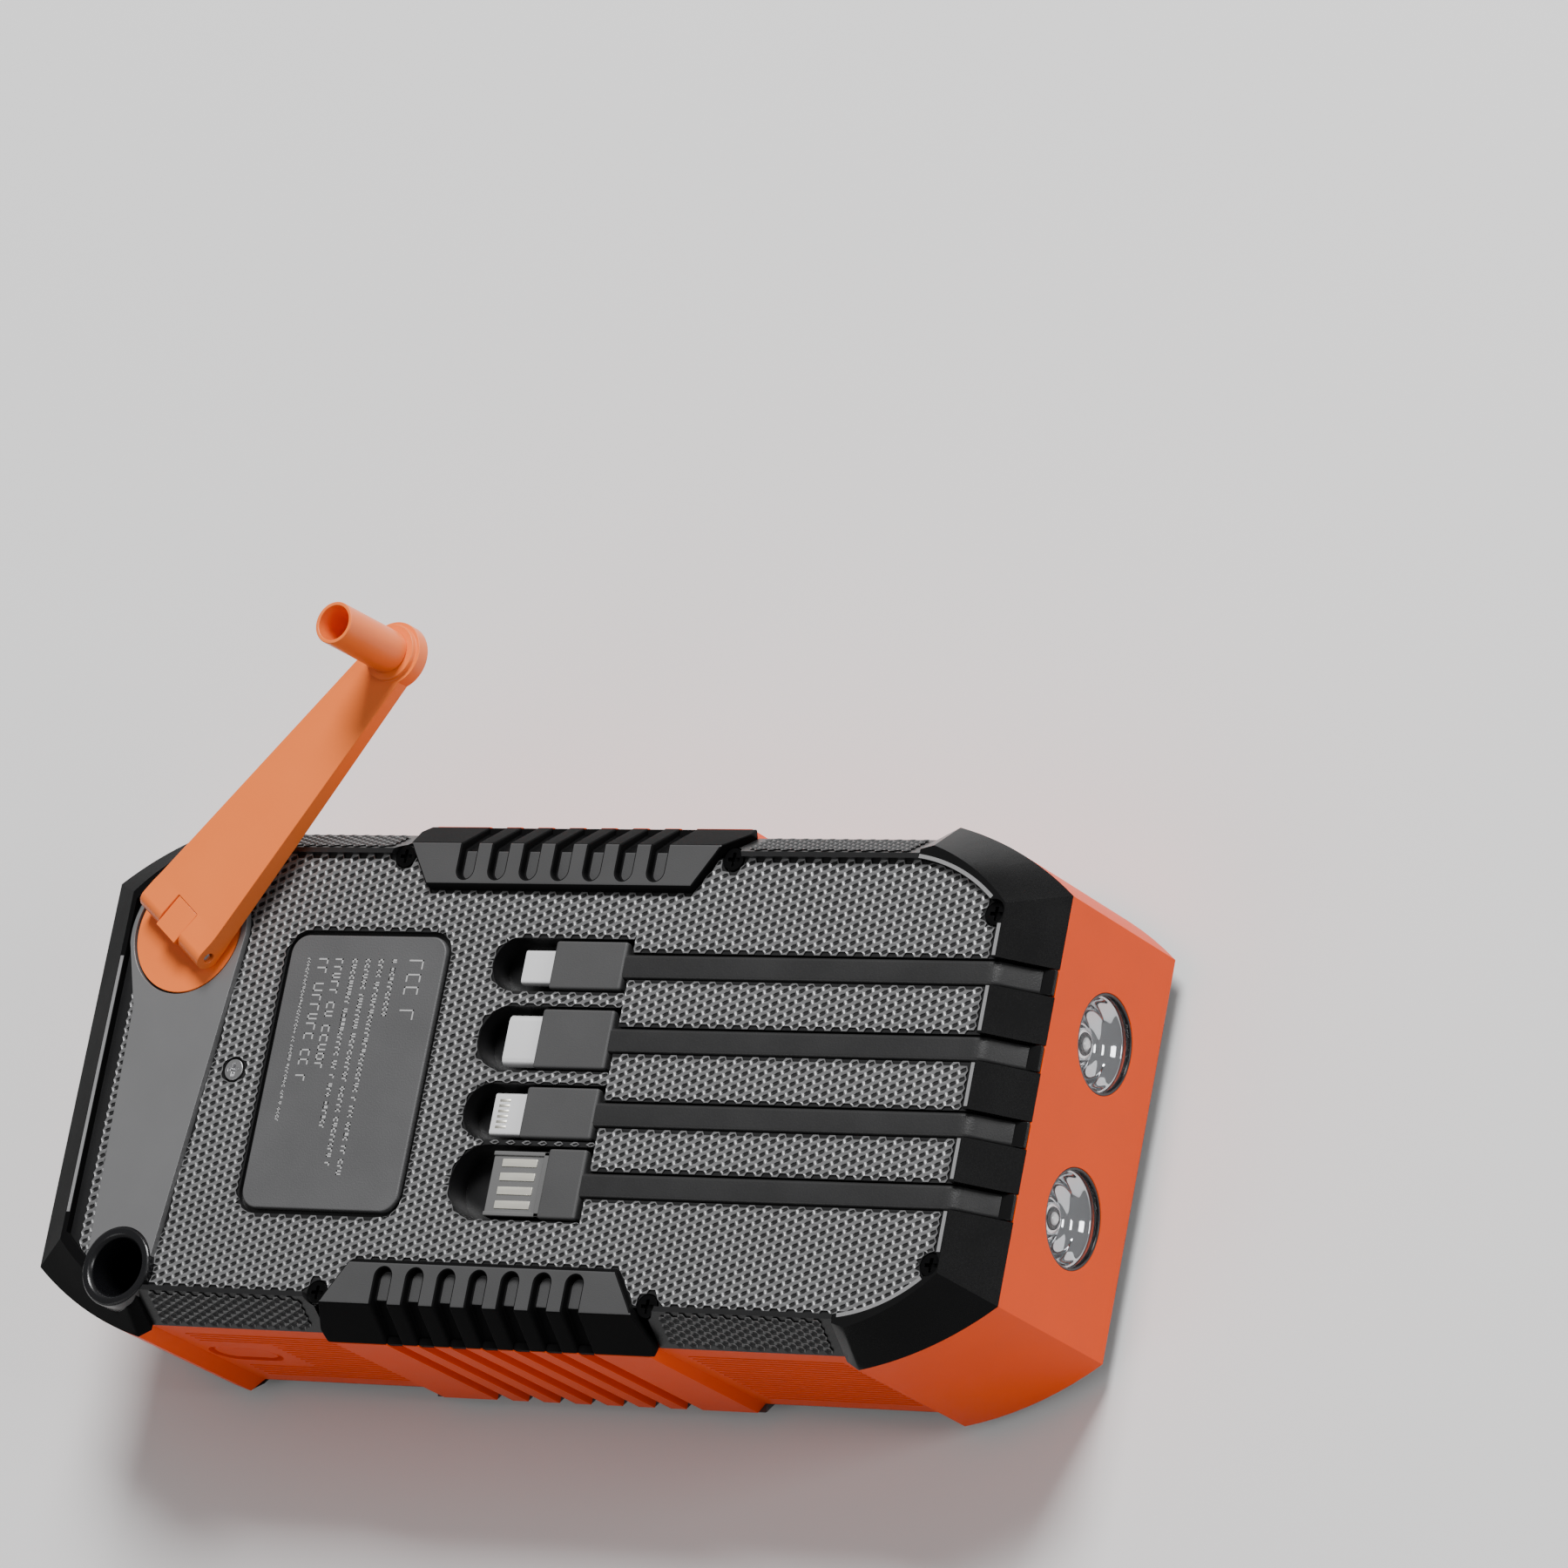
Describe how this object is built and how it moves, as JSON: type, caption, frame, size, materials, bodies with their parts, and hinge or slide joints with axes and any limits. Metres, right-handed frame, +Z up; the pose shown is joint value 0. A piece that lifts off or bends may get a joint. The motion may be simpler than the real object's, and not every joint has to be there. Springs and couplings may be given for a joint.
{
  "type": "solar phone charger",
  "caption": "Rugged pocket solar power bank with a fold-out hand crank, built-in flat charging leads, torch lamps in one end and a solar panel over its face.",
  "frame": {"origin": "centre of the solar panel's outer face; the case lies on that face", "axes": "+X along the case towards the torch lamps, +Y across it towards the crank hub, +Z up out of the back that carries the crank and the leads"},
  "size_m": [0.1772, 0.1132, 0.0614],
  "materials": {
    "orange_shell": "satin moulded orange",
    "orange_crank": "satin moulded orange",
    "black_shell": "satin black moulding",
    "black_gloss": "glossy black moulding",
    "deck_texture": "textured satin black",
    "seat_grey": "smooth satin dark grey",
    "trim_silver": "bright satin ring",
    "panel_clear": "clear laminate",
    "panel_black": "black laminate",
    "solar_cell": "blue violet silicon",
    "led_green": "lit green",
    "led_blue": "lit blue",
    "pcb": "green solder mask",
    "label": "fine-grained dark plate",
    "screw_black": "black oxide",
    "screw_steel": "zinc plated",
    "steel": "ground steel",
    "nylon": "natural nylon",
    "motor_can": "plated can",
    "pouch": "foil pouch",
    "frame_plastic": "plain moulding",
    "socket_steel": "plated shell",
    "switch": "small moulding",
    "reflector": "mirror bright",
    "lens": "clear",
    "lamp_led": "domed emitter",
    "cord_black": "soft flat lead",
    "plug_grey": "matte moulding",
    "plug_metal": "bright plated",
    "flap_orange": "soft orange flap"
  },
  "bodies": {
    "case": {"battery_cells": "pouch", "battery_frame": "frame_plastic", "case_screws": "screw_black", "crank_end_bumper": "black_gloss", "crank_seat": "seat_grey", "front_bezel": "black_shell", "front_corner_guards": "black_shell", "front_grips": "black_shell", "gear_plate": "frame_plastic", "gearbox_screw": "screw_steel", "generator_motor": "motor_can", "grip_pocket": "black_gloss", "idler_axle": "steel", "label_plate": "label", "lamp_board": "pcb", "lamp_end_bumper": "black_gloss", "lamp_leds": "lamp_led", "lamp_lenses": "lens", "lamp_reflectors": "reflector", "lead_roots": "cord_black", "led_board": "pcb", "main_board": "pcb", "mid_band": "orange_shell", "panel_backing": "panel_black", "panel_cover": "panel_clear", "rear_cover": "deck_texture", "rear_grips": "black_shell", "solar_cells": "solar_cell", "status_led_green": "led_green", "status_leds_blue": "led_blue", "switch_board": "pcb", "tact_switch": "switch", "trim_ring": "trim_silver", "usb_a_sockets": "socket_steel", "usb_c_socket": "socket_steel"},
    "crank_spindle": {"crank_hub": "orange_crank", "hinge_pin": "steel", "crank_gear": "nylon"},
    "crank_lever": {"crank_arm": "orange_crank", "grip_axle": "steel"},
    "grip": {"crank_grip": "orange_crank"},
    "idler": {"idler_gear": "nylon"},
    "generator_rotor": {"motor_pinion": "nylon"},
    "button": {"power_button": "orange_shell"},
    "port_flap": {"port_cover": "flap_orange"},
    "lead_1": {"lead_1_strap": "cord_black", "lead_1_plug": "plug_grey", "lead_1_tip": "plug_metal"},
    "lead_2": {"lead_2_strap": "cord_black", "lead_2_plug": "plug_grey", "lead_2_tip": "plug_metal"},
    "lead_3": {"lead_3_strap": "cord_black", "lead_3_plug": "plug_grey", "lead_3_tip": "plug_metal"},
    "lead_4": {"lead_4_strap": "cord_black", "lead_4_plug": "plug_grey", "lead_4_tip": "plug_metal"}
  },
  "joints": [
    {"name": "crank_spin", "type": "hinge", "parent": "case", "child": "crank_spindle", "pos_m": [-0.0687, 0.022, 0.0388], "axis": [0, 0, 1], "continuous": true},
    {"name": "crank_fold", "type": "hinge", "parent": "crank_spindle", "child": "crank_lever", "pos_m": [-0.0687, 0.022, 0.0422], "axis": [0.8039, -0.5948, 0], "range_deg": [0, 178]},
    {"name": "grip_spin", "type": "hinge", "parent": "crank_lever", "child": "grip", "pos_m": [-0.03639, 0.06566, 0.0541], "axis": [-0.0208, -0.0281, 0.9994], "continuous": true},
    {"name": "idler_spin", "type": "hinge", "parent": "case", "child": "idler", "pos_m": [-0.05736, 0.01545, 0.032], "axis": [0, 0, 1], "continuous": true},
    {"name": "rotor_spin", "type": "hinge", "parent": "case", "child": "generator_rotor", "pos_m": [-0.05156, 0.0054, 0.031], "axis": [0, 0, 1], "continuous": true},
    {"name": "button_press", "type": "slide", "parent": "case", "child": "button", "axis": [0, 1, 0], "range_m": [0, 0.0008], "stiffness_N_per_m": 400},
    {"name": "port_flap_hinge", "type": "hinge", "parent": "case", "child": "port_flap", "pos_m": [-0.0886, 0.0211, 0.0187], "axis": [0, 0, -1], "range_deg": [0, 150]},
    {"name": "lead_1_lift", "type": "hinge", "parent": "case", "child": "lead_1", "pos_m": [0.0792, 0.0179, 0.0389], "axis": [0, 1, 0], "range_deg": [0, 120]},
    {"name": "lead_2_lift", "type": "hinge", "parent": "case", "child": "lead_2", "pos_m": [0.0792, 0.0062, 0.0389], "axis": [0, 1, 0], "range_deg": [0, 120]},
    {"name": "lead_3_lift", "type": "hinge", "parent": "case", "child": "lead_3", "pos_m": [0.0792, -0.0055, 0.0389], "axis": [0, 1, 0], "range_deg": [0, 120]},
    {"name": "lead_4_lift", "type": "hinge", "parent": "case", "child": "lead_4", "pos_m": [0.0792, -0.0166, 0.0389], "axis": [0, 1, 0], "range_deg": [0, 120]}
  ],
  "couplings": [
    {"joint": "idler_spin", "follows": "crank_spin", "ratio": -4.2},
    {"joint": "rotor_spin", "follows": "crank_spin", "ratio": 15.12}
  ]
}
